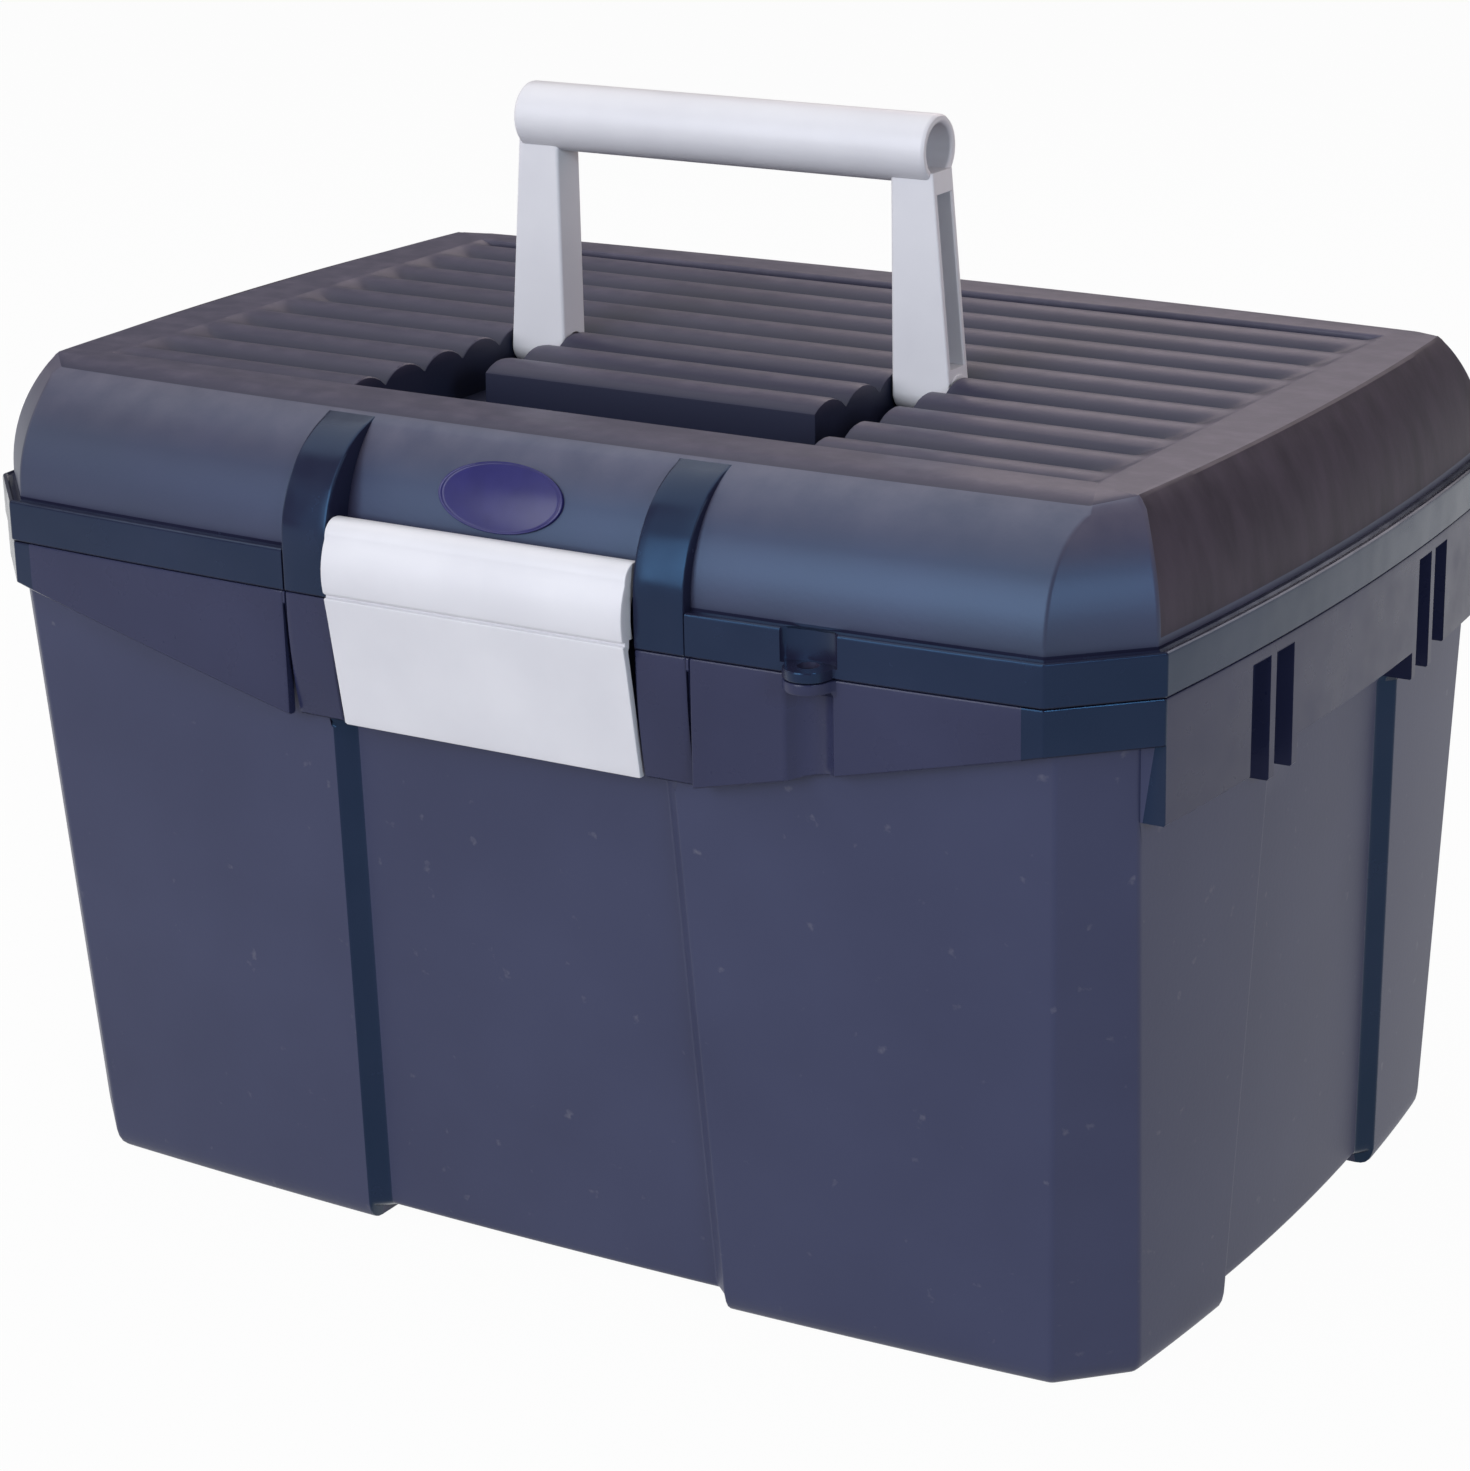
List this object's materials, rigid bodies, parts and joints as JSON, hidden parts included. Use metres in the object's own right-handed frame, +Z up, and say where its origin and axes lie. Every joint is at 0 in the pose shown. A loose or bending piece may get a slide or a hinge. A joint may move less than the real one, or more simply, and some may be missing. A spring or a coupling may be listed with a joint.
{
  "type": "grooming box",
  "caption": "Moulded grooming box with a domed ribbed lid on rear hinges, a folding carrying handle, a wide pivoting front latch, a padlock eye and a lift-out tray.",
  "frame": {"origin": "on the floor under the middle of the box", "axes": "+Z up, +X to the right seen from the front, the latch faces -Y"},
  "size_m": [0.4, 0.3055, 0.327],
  "materials": {
    "navy_polypropylene": "fine matte texture, glossy on lip, straps and skirt",
    "light_grey_polypropylene": "satin",
    "navy_badge": "gloss",
    "steel_pin": "drawn"
  },
  "bodies": {
    "tub": {"tub": "navy_polypropylene", "hinge_pin_left": "steel_pin", "hinge_pin_right": "steel_pin"},
    "lid": {"lid": "navy_polypropylene", "handle_pin_left": "steel_pin", "handle_pin_right": "steel_pin", "latch_pin": "steel_pin", "badge": "navy_badge"},
    "handle": {"handle": "light_grey_polypropylene"},
    "latch": {"latch": "light_grey_polypropylene"},
    "tray": {"tray": "light_grey_polypropylene", "tray_carrier": "light_grey_polypropylene"}
  },
  "joints": [
    {"name": "lid_hinge", "type": "hinge", "parent": "tub", "child": "lid", "pos_m": [0, 0.1505, 0.20315], "axis": [-1, 0, 0], "range_deg": [0, 105]},
    {"name": "handle_fold", "type": "hinge", "parent": "lid", "child": "handle", "pos_m": [0, -0.008, 0.2465], "axis": [1, 0, 0], "range_deg": [0, 90]},
    {"name": "latch_pivot", "type": "hinge", "parent": "lid", "child": "latch", "pos_m": [0, -0.1409, 0.2212], "axis": [-1, 0, 0], "range_deg": [0, 95]},
    {"name": "tray_lift", "type": "slide", "parent": "tub", "child": "tray", "axis": [0, 0, 1], "range_m": [0, 0.03]}
  ]
}
